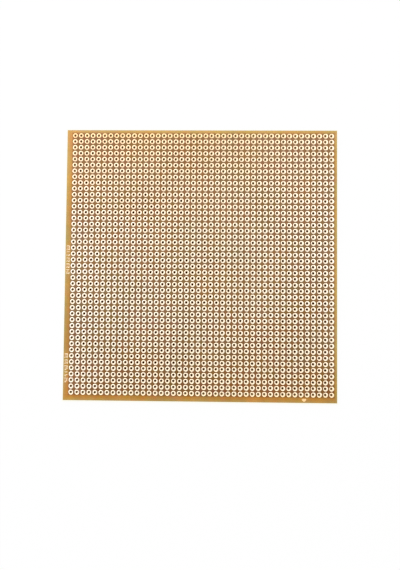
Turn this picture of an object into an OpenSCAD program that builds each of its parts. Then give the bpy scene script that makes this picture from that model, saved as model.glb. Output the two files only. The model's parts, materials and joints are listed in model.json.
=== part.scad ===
// Single-sided dot-matrix prototype board: a punched phenolic paper laminate that carries one
// round tinned copper pad at every hole, with row numbers and a spot mark etched in its margins.
// Frame: the underside lies on Z = 0 with its centre at the origin, the pads face +Z, row 1 is at +Y.

/* [Laminate] */
// Thickness of the phenolic paper laminate
board_t = 1.6; // [0.8:0.1:3.2]
// From the first column of holes to the left edge
margin_left = 3.35; // [3.1:0.05:12]
// From the last column of holes to the right edge
margin_right = 2.45; // [1.5:0.05:12]
// From the first row of holes to the far edge
margin_top = 2.4; // [1.5:0.05:12]
// From the last row of holes to the near edge
margin_bottom = 3.45; // [3:0.05:12]

/* [Hole grid] */
// Number of holes in a row
columns = 44; // [12:1:54]
// Number of rows, each with a pad node of its own
rows = 44; // [20:1:54]
// Hole to hole, both ways
pitch = 2.54; // [2.4:0.02:5.08]
// Diameter of each punched hole
hole_d = 1; // [0.6:0.05:1.4]

/* [Pads] */
// Diameter of each pad
pad_d = 2.1; // [1.8:0.05:2.3]
// Height of the tinned copper foil above the laminate
foil_t = 0.06; // [0.035:0.005:0.2]
// How much wider the etched artwork is than the hole grid, first column to last
artwork_growth_x = 0.18; // [-0.2:0.02:0.2]
// How much taller the etched artwork is than the hole grid, first row to last
artwork_growth_y = 0.1; // [-0.2:0.02:0.2]
// How far the artwork sits to the right of the hole grid
artwork_shift_x = 0.1; // [-0.1:0.02:0.1]
// How far the artwork sits above the hole grid
artwork_shift_y = -0.05; // [-0.1:0.05:0.1]

/* [Row numbers] */
// Height of a numeral
numeral_h = 1.3; // [0.9:0.05:1.6]
// Width of a numeral
numeral_w = 0.8; // [0.6:0.05:0.9]
// Width of the etched stroke
stroke_w = 0.24; // [0.14:0.02:0.28]
// Gap between the two numerals of a number
numeral_gap = 0.25; // [0.15:0.05:0.4]
// From the left edge to the feet of the numerals
numeral_inset = 1.8; // [1.7:0.05:2.1]
// How many rows each group numbers
numbered_rows = 5; // [3:1:6]
// Rows between the lower group's last number and the last row
rows_below_numbers = 2; // [1:1:4]

/* [Spot mark] */
// Diameter of each of the three joined spots
spot_d = 0.95; // [0.8:0.05:1.4]
// Centre to centre of the two upper spots
spot_spacing = 0.84; // [0.4:0.02:0.9]
// How far below them the third spot sits
spot_drop = 0.3; // [0.2:0.05:0.5]
// From the near edge to the two upper spots' centres
spot_inset = 1.3; // [1:0.05:1.5]
// Holes between the spots and the right end of the grid
spot_columns_from_right = 4.5; // [1:0.5:10]

/* [Hidden] */
// Pad rings and holes are true circles; this only sets how finely they are drawn
$fn = 32;

laminate_colour = [0.80, 0.60, 0.30];
tin_colour = [0.96, 0.92, 0.82];

grid_w = (columns - 1) * pitch;
grid_h = (rows - 1) * pitch;
board_w = margin_left + grid_w + margin_right;
board_h = margin_top + grid_h + margin_bottom;
// First hole of row 1
hole_x0 = margin_left - board_w / 2;
hole_y0 = board_h / 2 - margin_top;
// The artwork grew about the middle of the hole grid
pad_pitch_x = (grid_w + artwork_growth_x) / (columns - 1);
pad_pitch_y = (grid_h + artwork_growth_y) / (rows - 1);
pad_x0 = hole_x0 - artwork_growth_x / 2 + artwork_shift_x;
pad_y0 = hole_y0 + artwork_growth_y / 2 + artwork_shift_y;

// Segments of each numeral, 0 to 9: a top, b and c right, d foot, e and f left, g middle
numeral_segments = ["abcdef", "bc", "abdeg", "abcdg", "bcfg", "acdfg", "acdefg", "abc", "abcdefg", "abcdfg"];
middle_number = floor((rows - numbered_rows) / 2) + 1;
lower_number = rows - rows_below_numbers - numbered_rows + 1;

function two_digits(n) = str(n < 10 ? "0" : "", n);
function pad_row_name(row) = str("pad_row_", two_digits(row));
function hole_at(column, row) = [hole_x0 + (column - 1) * pitch, hole_y0 - (row - 1) * pitch];
function pad_at(column, row) = [pad_x0 + (column - 1) * pad_pitch_x, pad_y0 - (row - 1) * pad_pitch_y];
function has_segment(digit, segment) = len(search(segment, numeral_segments[digit])) > 0;

// The board itself: one sheet with every hole punched through it
module laminate() {
    color(laminate_colour)
    linear_extrude(board_t)
    difference() {
        square([board_w, board_h], center = true);
        for (row = [1:rows])
            for (column = [1:columns])
                translate(hole_at(column, row)) circle(d = hole_d);
    }
}

// Everything etched in the foil lies on the laminate's top face
module etched_foil() {
    color(tin_colour)
    translate([0, 0, board_t])
    linear_extrude(foil_t)
    children();
}

// One row of round pads; the punched hole takes its share out of each, a little off centre
module pad_row(row) {
    etched_foil()
    for (column = [1:columns])
        difference() {
            translate(pad_at(column, row)) circle(d = pad_d);
            translate(hole_at(column, row)) circle(d = hole_d);
        }
}

// One numeral, standing on the X axis from the origin
module numeral(digit) {
    side_h = (numeral_h + stroke_w) / 2;
    right_x = numeral_w - stroke_w;
    upper_y = numeral_h - side_h;
    bar = [numeral_w, stroke_w];
    side = [stroke_w, side_h];
    if (has_segment(digit, "a")) translate([0, numeral_h - stroke_w]) square(bar);
    if (has_segment(digit, "b")) translate([right_x, upper_y]) square(side);
    if (has_segment(digit, "c")) translate([right_x, 0]) square(side);
    if (has_segment(digit, "d")) square(bar);
    if (has_segment(digit, "e")) square(side);
    if (has_segment(digit, "f")) translate([0, upper_y]) square(side);
    if (has_segment(digit, "g")) translate([0, upper_y]) square(bar);
}

// A row's number in two numerals, read from the right-hand side, centred on that row's pads
module row_number(row) {
    advance = numeral_w + numeral_gap;
    number_w = advance + numeral_w;
    translate([numeral_inset - board_w / 2, pad_at(1, row).y - number_w / 2])
    rotate(90) {
        numeral(floor(row / 10));
        translate([advance, 0]) numeral(row % 10);
    }
}

module row_numbers(first) {
    etched_foil()
    for (row = [first:first + numbered_rows - 1]) row_number(row);
}

// Three spots that run into one another, in the near margin
module spot_mark() {
    etched_foil()
    translate([pad_at(columns - spot_columns_from_right, 1).x, spot_inset - board_h / 2]) {
        for (side = [-1, 1])
            translate([side * spot_spacing / 2, 0]) circle(d = spot_d);
        translate([0, -spot_drop]) circle(d = spot_d);
    }
}

laminate();
for (row = [1:rows])
    pad_row(row);
row_numbers(middle_number);  // row_numbers_middle
row_numbers(lower_number);  // row_numbers_lower
spot_mark();
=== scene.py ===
import json
import math

import bmesh
import bpy
from mathutils import Matrix, Vector


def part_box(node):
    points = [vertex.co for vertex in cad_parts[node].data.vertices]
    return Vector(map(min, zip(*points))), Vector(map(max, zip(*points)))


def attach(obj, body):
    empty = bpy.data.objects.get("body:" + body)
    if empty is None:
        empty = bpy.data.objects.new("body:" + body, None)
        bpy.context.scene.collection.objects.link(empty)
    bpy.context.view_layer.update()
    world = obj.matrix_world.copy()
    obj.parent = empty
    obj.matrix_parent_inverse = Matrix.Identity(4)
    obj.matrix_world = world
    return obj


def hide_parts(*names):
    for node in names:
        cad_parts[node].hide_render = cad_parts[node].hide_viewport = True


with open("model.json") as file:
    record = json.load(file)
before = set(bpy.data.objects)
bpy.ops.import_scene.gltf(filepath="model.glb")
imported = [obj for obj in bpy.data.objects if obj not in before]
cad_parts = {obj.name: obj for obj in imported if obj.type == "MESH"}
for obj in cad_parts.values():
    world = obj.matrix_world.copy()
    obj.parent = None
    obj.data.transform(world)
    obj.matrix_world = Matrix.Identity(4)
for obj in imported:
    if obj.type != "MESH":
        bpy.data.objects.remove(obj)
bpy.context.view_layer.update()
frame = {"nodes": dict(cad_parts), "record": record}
mm = 0.001
weldDistance = 0.0005 * mm  # points nearer than this are one
print("frame loaded:", len(frame["nodes"]), "CAD nodes")


class Wire:  # one output of a node, with the sums that add Math nodes
    def __init__(self, graph, socket):
        self.graph = graph
        self.socket = socket

    def math(self, operation, *others):
        return self.graph.math(operation, self, *others)

    def __add__(self, other):
        return self.math("ADD", other)

    def __radd__(self, other):
        return self.graph.math("ADD", other, self)

    def __sub__(self, other):
        return self.math("SUBTRACT", other)

    def __rsub__(self, other):
        return self.graph.math("SUBTRACT", other, self)

    def __mul__(self, other):
        return self.math("MULTIPLY", other)

    def __rmul__(self, other):
        return self.graph.math("MULTIPLY", other, self)

    def __truediv__(self, other):
        return self.math("DIVIDE", other)

    def __gt__(self, other):
        return self.math("GREATER_THAN", other)

    def __lt__(self, other):
        return self.math("LESS_THAN", other)

    def __neg__(self):
        return 0.0 - self

    def __abs__(self):
        return self.math("ABSOLUTE")


class Graph:  # a node tree; add() makes any node, sets it up and wires it
    def __init__(self, tree):
        self.tree = tree

    def add(self, kind, settings=None, inputs=None, output=0):
        node = self.tree.nodes.new(kind)
        for name, value in (settings or {}).items():
            if name == "captures":  # a data type for each label
                for label, dataType in value.items():
                    node.capture_items.new(dataType, label)
            elif name == "cases":  # how many values its index chooses from
                while len(node.index_switch_items) < value:
                    node.index_switch_items.new()
            else:
                setattr(node, name, value)
        for key, value in (inputs or {}).items():
            socket = self.socketOf(node.inputs, key)
            if isinstance(value, Wire):
                self.tree.links.new(value.socket, socket)
            else:
                socket.default_value = value
        return Wire(self, self.socketOf(node.outputs, output)) if node.outputs else node

    def socketOf(self, sockets, key):  # by its name or its place among those in use
        inUse = [s for s in sockets if s.enabled]
        return inUse[key] if isinstance(key, int) else next(s for s in inUse if s.name == key)

    def other(self, wire, output):  # another output of the node that a wire comes from
        return Wire(self, self.socketOf(wire.socket.node.outputs, output))

    def math(self, operation, *values):
        return self.add("ShaderNodeMath", {"operation": operation}, dict(enumerate(values)))

    def mixColour(self, factor, first, second):
        first, second = (c if isinstance(c, Wire) else (*c, 1) for c in (first, second))
        sockets = {"Factor": factor, "A": first, "B": second}
        return self.add("ShaderNodeMix", {"data_type": "RGBA"}, sockets)

    def ramp(self, value, low, high):  # 0 at low, 1 at high, eased at both ends
        sockets = {"Value": value, "From Min": low, "From Max": high}
        return self.add("ShaderNodeMapRange", {"interpolation_type": "SMOOTHSTEP"}, sockets)

    def noise(self, vector, scale, detail, roughness):
        sockets = {"Vector": vector, "Scale": scale, "Detail": detail, "Roughness": roughness}
        return self.add("ShaderNodeTexNoise", {}, sockets)

    def stretched(self, vector, scale, turn=0.0):
        sockets = {"Vector": vector, "Scale": scale, "Rotation": (0, 0, turn)}
        return self.add("ShaderNodeMapping", {}, sockets)

    def split(self, vector):
        x = self.add("ShaderNodeSeparateXYZ", {}, {0: vector})
        return x, self.other(x, "Y"), self.other(x, "Z")

    def join(self, x=0.0, y=0.0, z=0.0):
        return self.add("ShaderNodeCombineXYZ", {}, {0: x, 1: y, 2: z})

    def vectors(self, operation, first, second):
        return self.add("ShaderNodeVectorMath", {"operation": operation}, {0: first, 1: second})

    def scaled(self, vector, factor):
        return self.add("ShaderNodeVectorMath", {"operation": "SCALE"}, {0: vector, "Scale": factor})

    def millimetres(self):  # the place on the piece, in millimetres from the board's centre
        return self.scaled(self.add("ShaderNodeTexCoord", output="Object"), 1 / mm)

    def shownRays(self):  # 1 for what the camera sees, straight or in a gloss or through glass
        seen = self.add("ShaderNodeLightPath", output="Is Camera Ray")
        mirrored = self.other(seen, "Is Glossy Ray")
        through = self.other(seen, "Is Transmission Ray")
        return (seen + mirrored + through).math("MINIMUM", 1.0)


def clearedGraph(owner):  # of a material or the world
    owner.use_nodes = True
    owner.node_tree.nodes.clear()
    return Graph(owner.node_tree)


def newObject(name, data):
    thing = bpy.data.objects.new(name, data)
    bpy.context.scene.collection.objects.link(thing)
    return thing


def between(low, high, share):  # low where the share is 0, high where it is 1
    return low + (high - low) * share


def addTones(tones, look, amounts):  # each amount moves red, green and blue by its own shares
    for name, amount in amounts.items():
        tones = [tone + amount * share for tone, share in zip(tones, look[name])]
    return tones


def readHoleGrid():
    # the corner holes and the rows of pads give the whole grid
    holes = {m["name"]: Vector(m["pos_m"]) for m in frame["record"]["mounts"]}
    first = holes["corner_hole_top_left"]
    last = holes["corner_hole_bottom_right"]
    rowNodes = sorted(n for n in frame["nodes"] if n.startswith("pad_row_"))
    pitch = (first.y - last.y) / (len(rowNodes) - 1)
    columns = round((last.x - first.x) / pitch) + 1
    radius = next(m["dims"]["r_mm"] for m in frame["record"]["mounts"] if "r_mm" in m["dims"]) * mm
    return {"first": first, "last": last, "rowNodes": rowNodes, "pitch": pitch,
            "columns": columns, "radius": radius}


holeGrid = readHoleGrid()
boardLow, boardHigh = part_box("laminate")
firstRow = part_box(holeGrid["rowNodes"][0])
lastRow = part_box(holeGrid["rowNodes"][-1])
print("hole grid:", holeGrid["columns"], "by", len(holeGrid["rowNodes"]))


# light that creeps in under the board and shows in its holes, on their walls and beneath them
seepingLook = {
    "even": -0.15,
    "far": 0.30,  # towards the far edge
    "ends": 0.62,  # towards both ends
    "right": 0.08,
    "sides": 0.07,
    "bow": 0.25,  # along one line the sheet is bowed up a little
    "bowAt": 0.22,  # of the way from the middle to the right edge
    "bowReach": 0.40,
    "outermost": 0.42,  # in the holes nearest the edges
    "outermostLeft": 0.15,
    "outermostFrom": 0.915,
    "outermostTo": 0.94,
    "wall": (0.52, 0.43, 0.19),
    "floor": (0.52, 0.43, 0.19),
    "floorLift": 0.3,
}


def seepingLight(graph, x, y):  # from 0 to 1, anywhere on the board
    look = seepingLook
    right = x / boardHigh.x
    far = y / boardHigh.y
    edge = abs(right).math("MAXIMUM", abs(far))
    outermost = graph.ramp(edge, look["outermostFrom"], look["outermostTo"])
    bow = 1.0 - graph.ramp(abs(right - look["bowAt"]), 0.0, look["bowReach"])
    amount = look["even"] + far * look["far"] + far * far * look["ends"]
    amount = amount + right * look["right"] + right * right * look["sides"]
    amount = amount + bow * look["bow"]
    amount = amount + outermost * (look["outermost"] - right * look["outermostLeft"])
    return amount.math("MAXIMUM", 0.0).math("MINIMUM", 1.0)


# phenolic paper, golden tan, with punched holes and sheared edges; reaches are in millimetres,
# each noise is a scale per millimetre, a detail and a roughness, and each tone moves the red,
# green and blue
laminateLook = {
    "tan": (0.610, 0.288, 0.044),
    "shaded": (0.274, 0.132, 0.035),
    "underside": (0.400, 0.205, 0.045),
    "edge": (0.520, 0.330, 0.120),
    "edgeLine": (0.260, 0.135, 0.040),
    "wall": (0.128, 0.042, 0.008),
    "halo": (0.620, 0.430, 0.180),
    "shadeFrom": -0.50,  # beyond the outer pads
    "shadeReach": 0.70,
    "haloFrom": 0.05,  # beyond a hole's wall
    "haloReach": 0.42,
    "haloNoise": (1.7, 3.0, 0.6),
    "haloSpread": 0.25,
    "haloStrength": 0.55,
    "smearFrom": 0.05,  # beyond a hole's wall
    "smearReach": 0.15,
    "cloudNoise": (0.05, 6.0, 0.62),
    "cloudTone": (0.82, 0.82, 0.82),
    "resinTone": (0.12, 0.50, 2.60),
    "warmTone": (0.35, -0.20, 0.0),
    "farTone": (0.15, 0.18, 0.29),  # from the middle to the far edge: painted light, lighter towards the far edge and darker towards the near one
    "rightTone": (-0.015, 0.0, 0.035),  # from the middle to the right edge; its red share is painted light, lighter towards the left edge
    "endsTone": (-0.07, -0.20, -0.60),  # from the middle to both ends, among the pads
    "sidesTone": (0.0, 0.0, 0.10),  # from the middle to both sides
    "twistTone": (0.04, 0.12, 0.50),  # towards two opposite corners
    "paleTone": (0.0, 0.28, 1.00),  # towards the sheared edges
    "marginTone": (-0.025, -0.010, 0.115),  # from the near margin to the far one
    "speckNoise": (0.30, 1.5, 0.5),
    "speckTone": (0.40, 0.42, 1.30),  # specks that move each colour by itself
    "paleFrom": 0.10,  # in from the sheared edges
    "paleReach": 1.7,
    "fibreNoise": (2.4, 4.0, 0.65),
    "fibreStretch": (0.22, 1.0, 1.0),
    "fibreTurn": 0.06,
    "fibreTone": 0.12,
    "fibreRelief": 0.5,
    "fleckNoise": (9.0, 2.0, 0.7),
    "fleckRoughness": 0.12,
    "fleckRelief": 0.3,
    "layerNoise": (9.0, 3.0, 0.6),
    "layerStretch": (0.35, 0.35, 1.0),
    "layerFrom": 0.38,
    "layerTo": 0.66,
    "layerRelief": 3.0,
    "roughness": 0.42,
    "cutRoughness": 0.35,
    "ior": 1.5,
    "bumpStrength": 0.35,
    "bumpDepth": 0.012 * mm,
    "segments": 16,  # round each hole
    "nearBorder": 0.499,  # a point this share of a pitch from its hole is on its cell's border
    "sharpAngle": 0.7,
    "edgeBands": 3,
    "tear": 0.0007,  # as a share of the way to the board's centre
    "tearNoise": (1.6 / mm, 4.0, 0.65),
}


def makeLaminateMaterial():
    look = laminateLook
    material = bpy.data.materials.new("phenolicPaper")
    graph = clearedGraph(material)
    place = graph.millimetres()
    x, y, _ = graph.split(place)
    _, _, up = graph.split(graph.add("ShaderNodeNewGeometry", output="True Normal"))
    onTop = up > 0.5
    onUnderside = -up > 0.5
    onWall = 1.0 - onTop - onUnderside

    # how far the nearest punched hole's centre is
    pitch = holeGrid["pitch"] / mm
    first = holeGrid["first"] / mm
    acrossPitches = (x - first.x) / pitch
    downPitches = (first.y - y) / pitch

    def offCentre(pitches, count):
        nearest = pitches.math("ROUND").math("MINIMUM", count - 1.0).math("MAXIMUM", 0.0)
        return (pitches - nearest) * pitch

    across = offCentre(acrossPitches, holeGrid["columns"])
    down = offCentre(downPitches, len(holeGrid["rowNodes"]))
    squared = across * across + down * down
    fromHole = squared.math("SQRT")
    holeRadius = holeGrid["radius"] / mm

    # paper fibre, and resin that clouded as it cured
    alongPaper = graph.stretched(place, look["fibreStretch"], look["fibreTurn"])
    fibres = graph.noise(alongPaper, *look["fibreNoise"])
    flecks = graph.noise(place, *look["fleckNoise"])
    cured = graph.noise(place, *look["cloudNoise"])
    clouds, resin, warmth = graph.split(graph.other(cured, "Color"))
    speckled = graph.noise(place, *look["speckNoise"])
    specks = graph.split(graph.other(speckled, "Color"))
    fromEdge = (boardHigh.x / mm - abs(x)).math("MINIMUM", boardHigh.y / mm - abs(y))
    pale = (1.0 - graph.ramp(fromEdge, look["paleFrom"], look["paleReach"])) * onTop

    # between the pads the sheet gets less light from within, so it looks deeper there
    padsLow = Vector((firstRow[0].x, lastRow[0].y, 0)) / mm
    padsHigh = Vector((firstRow[1].x, firstRow[1].y, 0)) / mm
    padsCentre = (padsLow + padsHigh) / 2
    padsHalf = (padsHigh - padsLow) / 2
    besidePads = abs(x - padsCentre.x) - padsHalf.x
    beyondPads = abs(y - padsCentre.y) - padsHalf.y
    outside = besidePads.math("MAXIMUM", beyondPads)
    amongPads = (1.0 - graph.ramp(outside, look["shadeFrom"], look["shadeReach"])) * onTop
    face = graph.mixColour(amongPads, look["tan"], look["shaded"])

    right = x * (mm / boardHigh.x)
    far = y * (mm / boardHigh.y)
    tones = [1.0 + (speck - 0.5) * share for speck, share in zip(specks, look["speckTone"])]
    # the far tone and the red of the right tone are painted light, lighter towards the far edge and the
    # left one
    tones = addTones(tones, look, {
        "cloudTone": clouds - 0.5, "resinTone": resin - 0.5, "warmTone": warmth - 0.5,
        "farTone": far, "rightTone": right,
        "endsTone": far * far * amongPads, "sidesTone": right * right * amongPads,
        "twistTone": right * far * amongPads, "paleTone": pale,
        "marginTone": far * far * far * (onTop - amongPads)})

    # the bare underside, with a pale halo round each punched hole
    uneven = (graph.noise(place, *look["haloNoise"]) - 0.5) * look["haloSpread"]
    fromWall = fromHole - holeRadius
    beyondHalo = graph.ramp(fromWall + uneven, look["haloFrom"], look["haloReach"])
    halo = (1.0 - beyondHalo) * onUnderside * look["haloStrength"]
    bare = graph.mixColour(halo, look["underside"], look["halo"])
    face = graph.mixColour(onUnderside, face, bare)

    # cut faces: layers of paper on the sheared edges, dark smeared resin in the holes
    layers = graph.noise(graph.stretched(place, look["layerStretch"]), *look["layerNoise"])
    layered = graph.ramp(layers, look["layerFrom"], look["layerTo"])
    cutFace = graph.mixColour(layered, look["edge"], look["edgeLine"])
    inHole = (1.0 - graph.ramp(fromWall, look["smearFrom"], look["smearReach"])) * onWall
    seeping = seepingLight(graph, x * mm, y * mm)
    wall = graph.mixColour(seeping, look["wall"], seepingLook["wall"])
    cutFace = graph.mixColour(inHole, cutFace, wall)
    face = graph.mixColour(onWall, face, cutFace)

    fibreTone = 1.0 + (fibres - 0.5) * look["fibreTone"]
    colour = graph.vectors("MULTIPLY", face, graph.join(*(tone * fibreTone for tone in tones)))
    rough = look["roughness"] + (flecks - 0.5) * look["fleckRoughness"] + onWall * look["cutRoughness"]
    relief = fibres * look["fibreRelief"] + flecks * look["fleckRelief"]
    relief = relief + layers * onWall * look["layerRelief"]
    bump = graph.add("ShaderNodeBump", {}, {
        "Strength": look["bumpStrength"], "Distance": look["bumpDepth"], "Height": relief})
    shader = graph.add("ShaderNodeBsdfPrincipled", {}, {
        "Base Color": colour, "Roughness": rough, "Normal": bump, "IOR": look["ior"]})
    graph.add("ShaderNodeOutputMaterial", {}, {"Surface": shader})
    return material


def startTree(name, inputs):
    # an empty tree, what it is asked for, and its sockets' identifiers
    tree = bpy.data.node_groups.new(name, "GeometryNodeTree")
    tree.interface.new_socket("Geometry", in_out="OUTPUT", socket_type="NodeSocketGeometry")
    identifiers = {}
    for label, kind in inputs.items():
        socket = tree.interface.new_socket(label, in_out="INPUT", socket_type="NodeSocket" + kind)
        identifiers[label] = socket.identifier
    graph = Graph(tree)
    given = graph.add("NodeGroupInput")
    return graph, {label: graph.other(given, label) for label in inputs}, identifiers


def bentStrip(graph, profileSteps, turnSteps):
    # a flat strip that remembers, at each point, its step across and its share of the turn round
    strip = graph.add("GeometryNodeMeshGrid", {}, {
        "Size X": 1.0, "Size Y": 1.0, "Vertices X": profileSteps + 1, "Vertices Y": turnSteps + 1})
    across, along, _ = graph.split(graph.add("GeometryNodeInputPosition"))
    strip = graph.add("GeometryNodeCaptureAttribute", {"captures": {"Step": "FLOAT", "Turn": "FLOAT"}}, {
        "Geometry": strip, 1: (across + 0.5) * profileSteps, 2: along + 0.5})
    return strip, graph.other(strip, "Step"), graph.other(strip, "Turn") * (2 * math.pi)


def finishTree(graph, geometry, sharpAngle, material):
    # merges the seams, shades all but the sharp edges smooth and sets the material
    geometry = graph.add("GeometryNodeMergeByDistance", {}, {
        "Geometry": geometry, "Distance": weldDistance})
    sharp = graph.add("GeometryNodeInputMeshEdgeAngle") > sharpAngle
    geometry = graph.add("GeometryNodeSetShadeSmooth", {"domain": "FACE"}, {"Geometry": geometry})
    geometry = graph.add("GeometryNodeSetShadeSmooth", {"domain": "EDGE"}, {
        "Geometry": geometry, "Selection": sharp, "Shade Smooth": False})
    geometry = graph.add("GeometryNodeSetMaterial", {}, {"Geometry": geometry, "Material": material})
    graph.add("NodeGroupOutput", {}, {0: geometry})


def makeSheetTree():
    # one square cell of sheet per hole; the outer cells reach out to the sheared edges
    look = laminateLook
    graph, asked, identifiers = startTree("punchedSheet", {
        "Columns": "Int", "Rows": "Int", "Pitch": "Float", "First hole": "Vector",
        "Hole radius": "Float", "Low corner": "Vector", "High corner": "Vector",
        "Material": "Material"})
    pitch = asked["Pitch"]

    # a cell goes from its underside's border to the hole, up the wall and out again
    cellSteps = 3
    halfway = cellSteps / 2
    strip, step, angle = bentStrip(graph, cellSteps, look["segments"])

    finalColumn = asked["Columns"] - 1.0
    finalRow = asked["Rows"] - 1.0
    seats = graph.add("GeometryNodeMeshGrid", {}, {
        "Size X": finalColumn, "Size Y": finalRow,
        "Vertices X": asked["Columns"], "Vertices Y": asked["Rows"]})
    across, along, _ = graph.split(graph.add("GeometryNodeInputPosition"))
    kept = {"Column": "FLOAT", "Row": "FLOAT"}
    seats = graph.add("GeometryNodeCaptureAttribute", {"captures": kept}, {
        "Geometry": seats, 1: across + finalColumn / 2, 2: finalRow / 2 - along})
    column = graph.other(seats, "Column")
    row = graph.other(seats, "Row")
    cells = graph.add("GeometryNodeInstanceOnPoints", {}, {"Points": seats, "Instance": strip})
    cells = graph.add("GeometryNodeRealizeInstances", {}, {"Geometry": cells})

    cosine = angle.math("COSINE")
    sine = angle.math("SINE")
    longest = abs(cosine).math("MAXIMUM", abs(sine))
    onBorder = abs(step - halfway) > halfway - 0.5
    reach = between(asked["Hole radius"], pitch / 2 / longest, onBorder)
    lowX, lowY, lowZ = graph.split(asked["Low corner"])
    highX, highY, highZ = graph.split(asked["High corner"])
    holeX, holeY, _ = graph.split(asked["First hole"])

    sideways = reach * cosine
    upwards = reach * sine
    nearBorder = pitch * look["nearBorder"]
    x = holeX + column * pitch + sideways
    x = between(x, lowX, (-sideways > nearBorder) * (column < 0.5))
    x = between(x, highX, (sideways > nearBorder) * (column > finalColumn - 0.5))
    y = holeY - row * pitch + upwards
    y = between(y, highY, (upwards > nearBorder) * (row < 0.5))
    y = between(y, lowY, (-upwards > nearBorder) * (row > finalRow - 0.5))
    z = between(lowZ, highZ, step > halfway)
    cells = graph.add("GeometryNodeSetPosition", {}, {
        "Geometry": cells, "Position": graph.join(x, y, z)})
    sheet = graph.add("GeometryNodeMergeByDistance", {}, {"Geometry": cells, "Distance": weldDistance})

    # the sheared edge, drawn down from the top in bands that are a little torn
    depth = highZ - lowZ
    sheet = graph.add("GeometryNodeCaptureAttribute", {"captures": {"Rim": "VECTOR"}}, {
        "Geometry": sheet, 1: graph.add("GeometryNodeInputPosition")})
    rim = graph.other(sheet, "Rim")
    loose = graph.add("GeometryNodeInputMeshEdgeNeighbors")
    _, _, height = graph.split(rim)
    chosen = (loose < 1.5) * (height > lowZ + depth / 2)  # the top's border has one face per edge
    bands = look["edgeBands"]
    for band in range(1, bands + 1):
        sheet = graph.add("GeometryNodeExtrudeMesh", {"mode": "EDGES"}, {
            "Mesh": sheet, "Selection": chosen,
            "Offset": (0.0, 0.0, -1.0), "Offset Scale": depth / bands})
        chosen = graph.other(sheet, "Top")
        place = graph.vectors("ADD", rim, graph.join(z=depth * (-band / bands)))
        if band < bands:  # the last band ends on the underside's own border
            torn = graph.noise(place, *look["tearNoise"])
            inward = graph.vectors("MULTIPLY", rim, (-look["tear"], -look["tear"], 0.0))
            place = graph.vectors("ADD", place, graph.scaled(inward, torn))
        sheet = graph.add("GeometryNodeSetPosition", {}, {
            "Geometry": sheet, "Selection": chosen, "Position": place})
    finishTree(graph, sheet, look["sharpAngle"], asked["Material"])
    return graph.tree, identifiers


def grow(name, tree, identifiers, values):
    # runs a tree with these inputs and keeps what it makes as a plain mesh
    piece = newObject(name, bpy.data.meshes.new(name))
    modifier = piece.modifiers.new(name, "NODES")
    modifier.node_group = tree
    for key, value in values.items():
        modifier[identifiers[key]] = value
    evaluated = piece.evaluated_get(bpy.context.evaluated_depsgraph_get())
    mesh = bpy.data.meshes.new_from_object(evaluated)
    piece.modifiers.remove(modifier)
    piece.data = mesh
    return piece


def makeSheet(material):
    tree, identifiers = makeSheetTree()
    values = {
        "Columns": holeGrid["columns"],
        "Rows": len(holeGrid["rowNodes"]),
        "Pitch": holeGrid["pitch"],
        "First hole": holeGrid["first"],
        "Hole radius": holeGrid["radius"],
        "Low corner": boardLow,
        "High corner": boardHigh,
        "Material": material,
    }
    sheet = grow("punched_laminate", tree, identifiers, values)
    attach(sheet, "root")
    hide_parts("laminate")


# tin on copper foil: the pads, the row numbers and the spots
tinLook = {  # noises, reaches and tones as on the laminate
    "bright": (0.980, 0.896, 0.732),
    "dull": (0.910, 0.808, 0.617),
    "stain": (0.700, 0.520, 0.290),
    "numberBright": (0.960, 0.815, 0.560),  # the narrow strokes took less tin than the pads
    "numberDull": (0.900, 0.740, 0.480),
    "spotBright": (0.930, 0.710, 0.430),
    "spotDull": (0.870, 0.640, 0.370),
    "punched": (0.680, 0.475, 0.285),  # where the punch dragged the copper down
    "punchedFrom": 0.02,
    "punchedReach": 0.14,
    "punchedOval": 0.84,  # less than 1 reaches further along the columns
    # painted shade towards the far edge and painted light towards the near one, evening out the soft
    # boxes' light on the tin
    "farTone": (-0.074, -0.115, -0.155),
    # painted light towards the right edge, where the soft boxes light the tin less
    "rightTone": (0.040, 0.038, 0.030),
    "endsTone": (0.0, -0.110, -0.225),
    "sidesTone": (0.0, 0.0, 0.054),
    "twistTone": (0.011, 0.061, 0.106),
    "marginLightTone": (0.012, -0.020, -0.085),  # painted amber light from the bare margins, on the first row and the last
    "outerFrom": 0.93,
    "outerTo": 0.95,
    "rippleNoise": (1.6, 3.0, 0.55),
    "grainNoise": (14.0, 2.0, 0.6),
    "sweepNoise": (0.07, 2.0, 0.5),
    "rippleShare": 0.6,  # how much each adds to the dullness
    "padShare": 0.25,
    "sweepShare": 0.3,
    "dullFrom": 0.42,
    "dullTo": 0.85,
    "stainFrom": 0.66,
    "stainTo": 0.80,
    "stainStrength": 0.22,
    "roughness": 0.24,
    "dullRoughness": 0.16,
    "grainRoughness": 0.1,
    "grainRelief": 0.15,
    "bumpStrength": 0.4,
    "bumpDepth": 0.03 * mm,
    "segments": 20,  # round each pad
    "sharpAngle": 1.0,
    "profile": [  # share of the way from hole to rim, share of the foil's height, unevenness
        (0.0, 0.0, 0.0),
        (0.26, 1.0, 0.3),
        (0.74, 0.92, 0.8),
        (1.0, 0.0, 1.0),
        (0.0, 0.0, 0.0),  # back to the hole underneath
    ],
    "crownLean": 0.05,  # tin gathers on one side of each pad
    "crownTilt": 0.06,
    "leastFill": 0.80,  # the thinnest coat, as a share of the foil's height
    "wobbleNoise": (1.0, 2.0, 0.5),
    "wobbleRound": 1.3,  # how fast the rim changes round a pad, and from pad to pad
    "wobbleApart": 7.31,
    "wobble": 0.058 * mm,
    "eaten": 0.016 * mm,  # the etch bit deeper across the board than along it
    "sink": 0.004 * mm,  # how far the foil's foot sits in the laminate
    "firstSeed": 40,
    "seedStep": 7,
    "markWeld": 0.001 * mm,
    "markFlat": math.radians(2),
    "markBevel": 0.03 * mm,
    "markBevelSteps": 2,
    "markRound": 0.5,  # a bevel with this profile is a quarter of a circle
}


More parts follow.
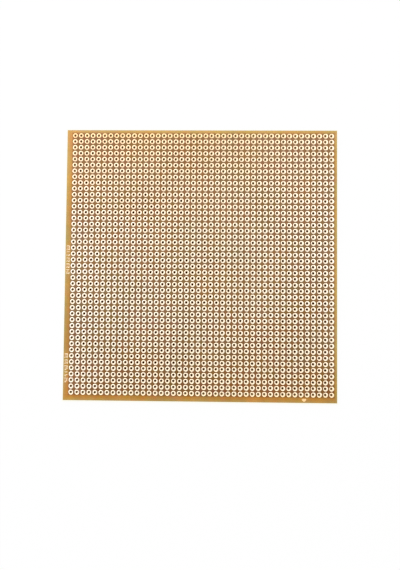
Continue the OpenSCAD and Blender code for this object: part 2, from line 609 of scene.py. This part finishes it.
def makeTinMaterial(name, bright, dull):
    look = tinLook
    material = bpy.data.materials.new(name)
    graph = clearedGraph(material)
    place = graph.millimetres()
    x, y, _ = graph.split(place)

    # each pad took the tin a little differently
    pitch = holeGrid["pitch"] / mm
    first = holeGrid["first"] / mm
    column = ((x - first.x) / pitch).math("ROUND")
    row = ((first.y - y) / pitch).math("ROUND")
    padTone = graph.add("ShaderNodeTexWhiteNoise", {"noise_dimensions": "3D"}, {
        "Vector": graph.join(column, row)})
    ripples = graph.noise(place, *look["rippleNoise"])
    grain = graph.noise(place, *look["grainNoise"])
    sweep = graph.noise(place, *look["sweepNoise"])
    dullness = ripples * look["rippleShare"] + padTone * look["padShare"] + sweep * look["sweepShare"]
    dullness = graph.ramp(dullness, look["dullFrom"], look["dullTo"])
    colour = graph.mixColour(dullness, bright, dull)
    stained = graph.ramp(grain, look["stainFrom"], look["stainTo"]) * look["stainStrength"]
    colour = graph.mixColour(stained, colour, look["stain"])

    # copper shows round the hole, where the punch thinned the tin
    across = x - first.x - column * pitch
    down = (first.y - y - row * pitch) * look["punchedOval"]
    squared = across * across + down * down
    fromHole = squared.math("SQRT") - holeGrid["radius"] / mm
    punched = 1.0 - graph.ramp(fromHole, look["punchedFrom"], look["punchedReach"])
    colour = graph.mixColour(punched, colour, look["punched"])

    right = x * (mm / boardHigh.x)
    far = y * (mm / boardHigh.y)
    # painted amber light from the bare margins, on the outermost rows of pads
    outer = graph.ramp(abs(far), look["outerFrom"], look["outerTo"])
    # the far and right tones are painted shade and light that even out the soft boxes' light
    tones = addTones([1.0, 1.0, 1.0], look, {
        "farTone": far, "rightTone": right, "endsTone": far * far, "sidesTone": right * right,
        "twistTone": right * far, "marginLightTone": outer})
    colour = graph.vectors("MULTIPLY", colour, graph.join(*tones))
    rough = look["roughness"] + dullness * look["dullRoughness"] + (grain - 0.5) * look["grainRoughness"]
    relief = ripples + grain * look["grainRelief"]
    bump = graph.add("ShaderNodeBump", {}, {
        "Strength": look["bumpStrength"], "Distance": look["bumpDepth"], "Height": relief})
    shader = graph.add("ShaderNodeBsdfPrincipled", {}, {
        "Base Color": colour, "Metallic": 1.0, "Roughness": rough, "Normal": bump})
    graph.add("ShaderNodeOutputMaterial", {}, {"Surface": shader})
    return material


def makePadTree():
    # one ring per hole: a strip of quads, bent round and closed, between the hole and the pad's rim
    look = tinLook
    graph, asked, identifiers = startTree("tinnedPadRow", {
        "Pads": "Int", "First pad": "Vector", "Pad spacing": "Float", "Pad radius": "Float",
        "First hole": "Vector", "Hole spacing": "Float", "Hole radius": "Float",
        "Foil height": "Float", "Seed": "Int", "Material": "Material"})
    strip, step, angle = bentStrip(graph, len(look["profile"]) - 1, look["segments"])

    # every ring starts at one place and is told from the others by its number
    seats = graph.add("GeometryNodeMeshLine", {"mode": "OFFSET"}, {
        "Count": asked["Pads"], "Offset": (0.0, 0.0, 0.0)})
    seats = graph.add("GeometryNodeCaptureAttribute", {"captures": {"Number": "INT"}}, {
        "Geometry": seats, 1: graph.add("GeometryNodeInputIndex")})
    number = graph.other(seats, "Number")
    rings = graph.add("GeometryNodeInstanceOnPoints", {}, {"Points": seats, "Instance": strip})
    rings = graph.add("GeometryNodeRealizeInstances", {}, {"Geometry": rings})

    # across the ring: the hole's edge, two crowns, the pad's rim and back underneath
    whichStep = graph.add("FunctionNodeFloatToInt", {"rounding_mode": "ROUND"}, {0: step})

    def atStep(values):
        settings = {"data_type": "FLOAT", "cases": len(values)}
        sockets = {"Index": whichStep}
        sockets.update({str(i): value for i, value in enumerate(values)})
        return graph.add("GeometryNodeIndexSwitch", settings, sockets)

    share, lift, uneven = (atStep(values) for values in zip(*look["profile"]))
    crowned = lift > 0.5
    cosine = angle.math("COSINE")
    sine = angle.math("SINE")

    # tin gathers on one side of each pad, and its rim isn't quite round
    def drawn(low, high, seedStep):
        return graph.add("FunctionNodeRandomValue", {"data_type": "FLOAT"}, {
            "Min": low, "Max": high, "ID": number, "Seed": asked["Seed"] + seedStep})

    lean = drawn(0.0, 2 * math.pi, 1)
    leaned = (angle - lean).math("COSINE")
    fill = drawn(look["leastFill"], 1.0, 2)
    crownShift = leaned * drawn(0.0, look["crownLean"], 3) * crowned
    wobbled = look["wobbleRound"]
    wavePlace = graph.join(cosine * wobbled, sine * wobbled, number * look["wobbleApart"])
    wave = graph.noise(wavePlace, *look["wobbleNoise"])
    share = share + crownShift
    padX, padY, padZ = graph.split(asked["First pad"])
    holeX, holeY, _ = graph.split(asked["First hole"])
    padX = padX + number * asked["Pad spacing"]
    holeX = holeX + number * asked["Hole spacing"]
    radius = between(asked["Hole radius"], asked["Pad radius"], share)
    radius = radius - uneven * (wave * look["wobble"] + cosine * cosine * look["eaten"])
    x = between(holeX, padX, share) + radius * cosine
    y = between(holeY, padY, share) + radius * sine
    tilt = look["crownTilt"]
    height = lift * fill * (1.0 - leaned * tilt) * asked["Foil height"] / (1.0 + tilt)
    z = padZ + height - (1.0 - crowned) * look["sink"]
    rings = graph.add("GeometryNodeSetPosition", {}, {
        "Geometry": rings, "Position": graph.join(x, y, z)})
    finishTree(graph, rings, look["sharpAngle"], asked["Material"])
    return graph.tree, identifiers


def makePadRows(material):
    tree, identifiers = makePadTree()
    columns = holeGrid["columns"]
    for index, node in enumerate(holeGrid["rowNodes"]):
        low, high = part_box(node)
        radius = (high.y - low.y) / 2
        middle = (low.y + high.y) / 2
        values = {
            "Pads": columns,
            "First pad": (low.x + radius, middle, low.z),
            "Pad spacing": (high.x - low.x - 2 * radius) / (columns - 1),
            "Pad radius": radius,
            "First hole": (holeGrid["first"].x, holeGrid["first"].y - index * holeGrid["pitch"], low.z),
            "Hole spacing": holeGrid["pitch"],
            "Hole radius": holeGrid["radius"],
            "Foil height": high.z - low.z,
            "Seed": tinLook["firstSeed"] + tinLook["seedStep"] * index,
            "Material": material,
        }
        piece = grow(f"tinned_pads_{index + 1:02d}", tree, identifiers, values)
        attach(piece, "root")
        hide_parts(node)


laminateMaterial = makeLaminateMaterial()
tinMaterial = makeTinMaterial("tinnedFoil", tinLook["bright"], tinLook["dull"])
numberMaterial = makeTinMaterial("tinnedNumbers", tinLook["numberBright"], tinLook["numberDull"])
spotMaterial = makeTinMaterial("tinnedSpots", tinLook["spotBright"], tinLook["spotDull"])


def makeMark(name, node, material):
    # the etched outline again, with the tin drawn back from its edges
    look = tinLook
    mark = newObject(name, frame["nodes"][node].data.copy())
    body = bmesh.new()
    body.from_mesh(mark.data)
    bmesh.ops.remove_doubles(body, verts=body.verts, dist=look["markWeld"])
    bmesh.ops.dissolve_limit(body, angle_limit=look["markFlat"], verts=body.verts, edges=body.edges)
    top = max(v.co.z for v in body.verts)
    rims = [e for e in body.edges if all(v.co.z > top - look["markWeld"] for v in e.verts)]
    bmesh.ops.bevel(body, geom=rims, offset=look["markBevel"], segments=look["markBevelSteps"],
                    profile=look["markRound"], affect="EDGES", clamp_overlap=True)
    for corner in body.verts:  # a mitred inside corner can rise above the foil
        corner.co.z = min(corner.co.z, top)
    body.to_mesh(mark.data)
    body.free()
    mark.data.materials.clear()
    mark.data.materials.append(material)
    for face in mark.data.polygons:
        face.use_smooth = False
    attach(mark, "root")
    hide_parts(node)


makeSheet(laminateMaterial)
makeMark("etched_numbers_middle", "row_numbers_middle", numberMaterial)
makeMark("etched_numbers_lower", "row_numbers_lower", numberMaterial)
makeMark("etched_spots", "spot_mark", spotMaterial)
print("laminate and marks: 4 pieces")
makePadRows(tinMaterial)
print("pads:", len(holeGrid["rowNodes"]), "rows of", holeGrid["columns"])


# a pale floor under a pale sky, with three soft boxes over the board
studio = {
    "floorSize": 6.0,
    "floorDrop": 0.05 * mm,
    "floorColour": (0.94, 0.94, 0.94),
    "floorBeneath": (0.41, 0.128, 0.006),  # lit through the amber laminate
    "floorLift": 0.94,  # the rest is the lit cloth, which keeps the board's shadow
    "glowStrength": 1.015,  # the two together come to white
    "floorGlow": (1.0, 0.985, 0.80),  # beside the sheared edges
    "glowReach": 1.1 * mm,
    "clearFrom": -1.2 * mm,  # under the board it is dark, from just inside the outline
    "clearTo": -0.2 * mm,
    "shadowFrom": 0.05,
    "shadowReach": 0.25,
    "worldStrength": 0.30,  # what the sky sheds on the board; it is seen at a strength of 1
    "boxSize": 0.66,
    "boxes": {  # where each soft box hangs, and its power
        "softBoxLeft": (Vector((-0.34, 0.34, 0.40)), 2.35),
        "softBoxRight": (Vector((0.40, 0.30, 0.42)), 1.25),
        "softBoxNear": (Vector((-0.05, -0.50, 0.40)), 0.9),
    },
}


def makeFloor():
    half = studio["floorSize"] / 2
    corners = [(-half, -half), (half, -half), (half, half), (-half, half)]
    mesh = bpy.data.meshes.new("floor")
    mesh.from_pydata([(x, y, -studio["floorDrop"]) for x, y in corners], [], [(0, 1, 2, 3)])
    floor = newObject("floor", mesh)
    material = bpy.data.materials.new("paleFloor")
    graph = clearedGraph(material)
    here = graph.add("ShaderNodeTexCoord", output="Object")
    x, y, _ = graph.split(here)
    outside = (abs(x) - boardHigh.x).math("MAXIMUM", abs(y) - boardHigh.y)
    clear = graph.ramp(outside, studio["clearFrom"], studio["clearTo"])
    farOff = graph.ramp(outside, studio["shadowFrom"], studio["shadowReach"])
    lift = between(studio["floorLift"], 1.0, farOff)
    seeping = seepingLight(graph, x, y) * (1.0 - clear) * seepingLook["floorLift"]
    lift = (clear * lift + seeping) * graph.shownRays()
    tone = graph.mixColour(clear, studio["floorBeneath"], studio["floorColour"])
    cloth = graph.add("ShaderNodeBsdfDiffuse", {}, {"Color": tone})
    beside = graph.ramp(outside, 0.0, studio["glowReach"])
    white = graph.mixColour(beside, studio["floorGlow"], (1, 1, 1))
    white = graph.mixColour(clear, seepingLook["floor"], white)
    glow = graph.add("ShaderNodeEmission", {}, {"Color": white, "Strength": studio["glowStrength"]})
    surface = graph.add("ShaderNodeMixShader", {}, {0: lift, 1: cloth, 2: glow})
    graph.add("ShaderNodeOutputMaterial", {}, {"Surface": surface})
    mesh.materials.append(material)


def makeWorld():
    world = bpy.data.worlds.new("studio")
    bpy.context.scene.world = world
    graph = clearedGraph(world)
    strength = between(studio["worldStrength"], 1.0, graph.shownRays())
    sky = graph.add("ShaderNodeBackground", {}, {"Color": (1, 1, 1, 1), "Strength": strength})
    graph.add("ShaderNodeOutputWorld", {}, {"Surface": sky})


def makeSoftBoxes():
    for name, (place, power) in studio["boxes"].items():
        light = bpy.data.lights.new(name, "AREA")
        light.shape = "SQUARE"
        light.size = studio["boxSize"]
        light.energy = power
        lamp = newObject(name, light)
        lamp.location = place
        lamp.rotation_euler = (-place).to_track_quat("-Z", "Y").to_euler()
        lamp.visible_camera = False


viewPoint = {
    "place": Vector((7.67, -23.225, 296.65)) * mm,
    "target": Vector((-0.13, -8.575, 1.6)) * mm,
    "rollDegrees": 0.534,
    "lens": 44.18,
    "nearest": 0.01,
}


def makeCamera():
    camera = newObject("camera", bpy.data.cameras.new("camera"))
    camera.data.lens = viewPoint["lens"]
    camera.data.clip_start = viewPoint["nearest"]
    away = (viewPoint["place"] - viewPoint["target"]).normalized()
    side = Vector((0, 1, 0)).cross(away).normalized()
    turned = Matrix((side, away.cross(side), away)).transposed().to_4x4()
    roll = Matrix.Rotation(math.radians(viewPoint["rollDegrees"]), 4, "Z")
    camera.matrix_world = Matrix.Translation(viewPoint["place"]) @ turned @ roll
    bpy.context.scene.camera = camera


makeFloor()
makeWorld()
makeSoftBoxes()
makeCamera()
bpy.context.scene.view_settings.view_transform = "Standard"
print("studio: floor, world, soft boxes and camera")
